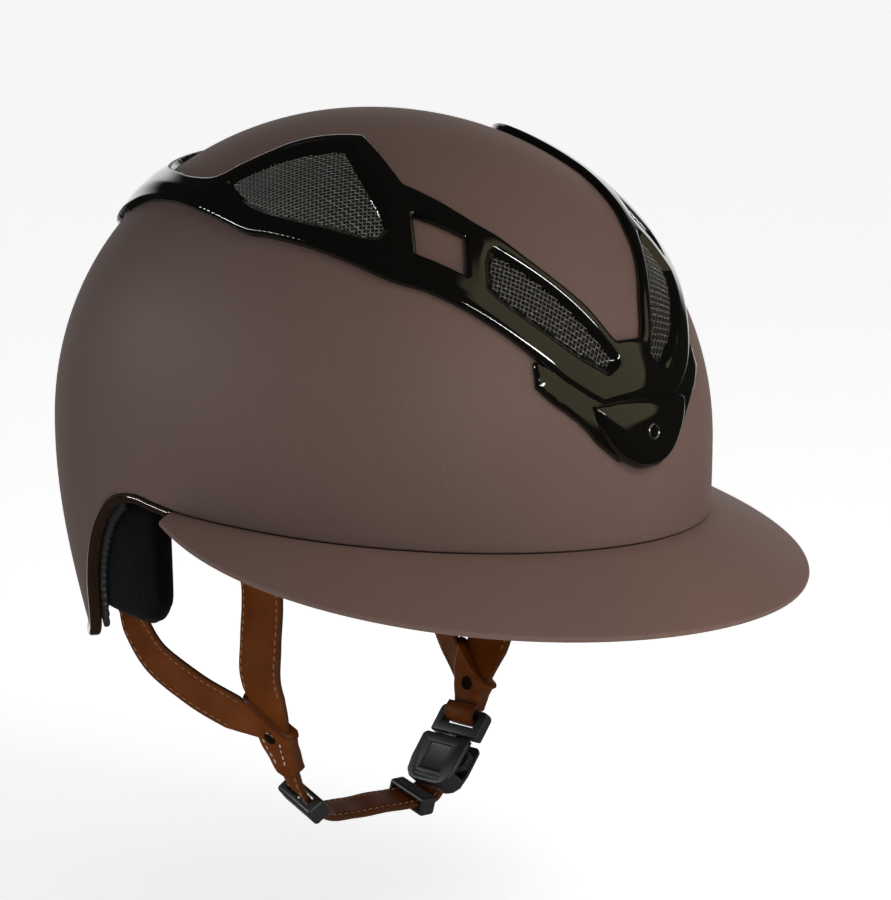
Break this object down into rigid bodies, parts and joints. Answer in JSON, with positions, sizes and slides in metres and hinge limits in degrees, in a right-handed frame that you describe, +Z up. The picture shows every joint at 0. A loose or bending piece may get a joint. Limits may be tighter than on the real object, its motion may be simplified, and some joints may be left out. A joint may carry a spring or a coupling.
{
  "type": "equestrian riding helmet",
  "caption": "Wide-brimmed riding helmet with a gloss vent frame over the crown, foam liner, comfort pads and a leather harness closed by a side-release buckle.",
  "frame": {"origin": "middle of the crown pad's flat underside, where the helmet rests on its wearer", "axes": "+Z up, the wearer faces -Y, +X is the wearer's left"},
  "size_m": [0.2448, 0.3048, 0.2699],
  "materials": {
    "shell_matt_brown": "fine matt soft-touch paint",
    "visor_matt_brown": "fine matt soft-touch paint",
    "gloss_black_frame": "piano gloss",
    "gloss_black_plate": "piano gloss",
    "gloss_black_boss": "piano gloss",
    "stud_steel": "dark satin",
    "gloss_trim": "gloss",
    "foam": "charcoal bead foam",
    "comfort_fabric": "black wicking knit",
    "nape_fabric": "black napped microfibre",
    "vent_mesh": "woven grid",
    "strap_leather": "smooth tan with stitched edges",
    "anchor_steel": "satin",
    "rivet_steel": "satin",
    "buckle_plastic": "satin moulded"
  },
  "bodies": {
    "helmet": {"outer_shell": "shell_matt_brown", "visor_brim": "visor_matt_brown", "vent_frame": "gloss_black_frame", "brow_plate": "gloss_black_plate", "emblem_boss": "gloss_black_boss", "emblem_stud": "stud_steel", "rim_trim": "gloss_trim", "impact_liner": "foam", "crown_pad": "comfort_fabric", "brow_pad": "comfort_fabric", "exhaust_mesh": "vent_mesh", "front_vent_mesh_right": "vent_mesh", "rear_vent_mesh_right": "vent_mesh", "side_pad_right": "comfort_fabric", "nape_pad_right": "nape_fabric", "front_strap_tab_right": "strap_leather", "rear_strap_tab_right": "strap_leather", "front_right_anchor": "anchor_steel", "front_right_anchor_rivet": "rivet_steel", "rear_right_anchor": "anchor_steel", "rear_right_anchor_rivet": "rivet_steel", "front_vent_mesh_left": "vent_mesh", "rear_vent_mesh_left": "vent_mesh", "side_pad_left": "comfort_fabric", "nape_pad_left": "nape_fabric", "front_strap_tab_left": "strap_leather", "rear_strap_tab_left": "strap_leather", "front_strap_left": "strap_leather", "rear_strap_left": "strap_leather", "strap_junction_left": "strap_leather", "junction_rivet_left": "rivet_steel", "front_left_anchor": "anchor_steel", "front_left_anchor_rivet": "rivet_steel", "rear_left_anchor": "anchor_steel", "rear_left_anchor_rivet": "rivet_steel", "plug_strap_loop": "strap_leather", "buckle_plug": "buckle_plastic"},
    "chin_harness": {"front_strap_right": "strap_leather", "strap_junction_right": "strap_leather", "junction_rivet_right": "rivet_steel", "chin_strap": "strap_leather", "buckle_receiver": "buckle_plastic"},
    "rear_strap": {"rear_strap_right": "strap_leather"},
    "slider": {"strap_slider": "buckle_plastic"},
    "keeper": {"strap_keeper": "buckle_plastic"},
    "prong_front": {"plug_prong_front": "buckle_plastic"},
    "prong_rear": {"plug_prong_rear": "buckle_plastic"}
  },
  "joints": [
    {"name": "chin_strap_open", "type": "hinge", "parent": "helmet", "child": "chin_harness", "pos_m": [-0.07, 0, -0.119], "axis": [0, 1, 0], "range_deg": [0, 24]},
    {"name": "rear_strap_follow", "type": "hinge", "parent": "helmet", "child": "rear_strap", "pos_m": [-0.07705, 0.05105, -0.14105], "axis": [0.1833, 0.7483, -0.6376], "range_deg": [0, 28]},
    {"name": "strap_slider_slide", "type": "slide", "parent": "chin_harness", "child": "slider", "axis": [0.6783, 0, -0.7348], "range_m": [-0.002, 0.002]},
    {"name": "strap_keeper_slide", "type": "slide", "parent": "chin_harness", "child": "keeper", "axis": [0.9998, 0, -0.02], "range_m": [-0.005, 0.002]},
    {"name": "prong_front_flex", "type": "hinge", "parent": "helmet", "child": "prong_front", "pos_m": [0.04309, -0.0058, -0.20597], "axis": [0.7893, 0, -0.614], "range_deg": [0, 6]},
    {"name": "prong_rear_flex", "type": "hinge", "parent": "helmet", "child": "prong_rear", "pos_m": [0.04309, 0.0078, -0.20597], "axis": [0.7893, 0, -0.614], "range_deg": [-6, 0]}
  ],
  "couplings": [
    {"joint": "rear_strap_follow", "follows": "chin_strap_open", "ratio": 1.1525},
    {"joint": "prong_rear_flex", "follows": "prong_front_flex", "ratio": -1}
  ]
}
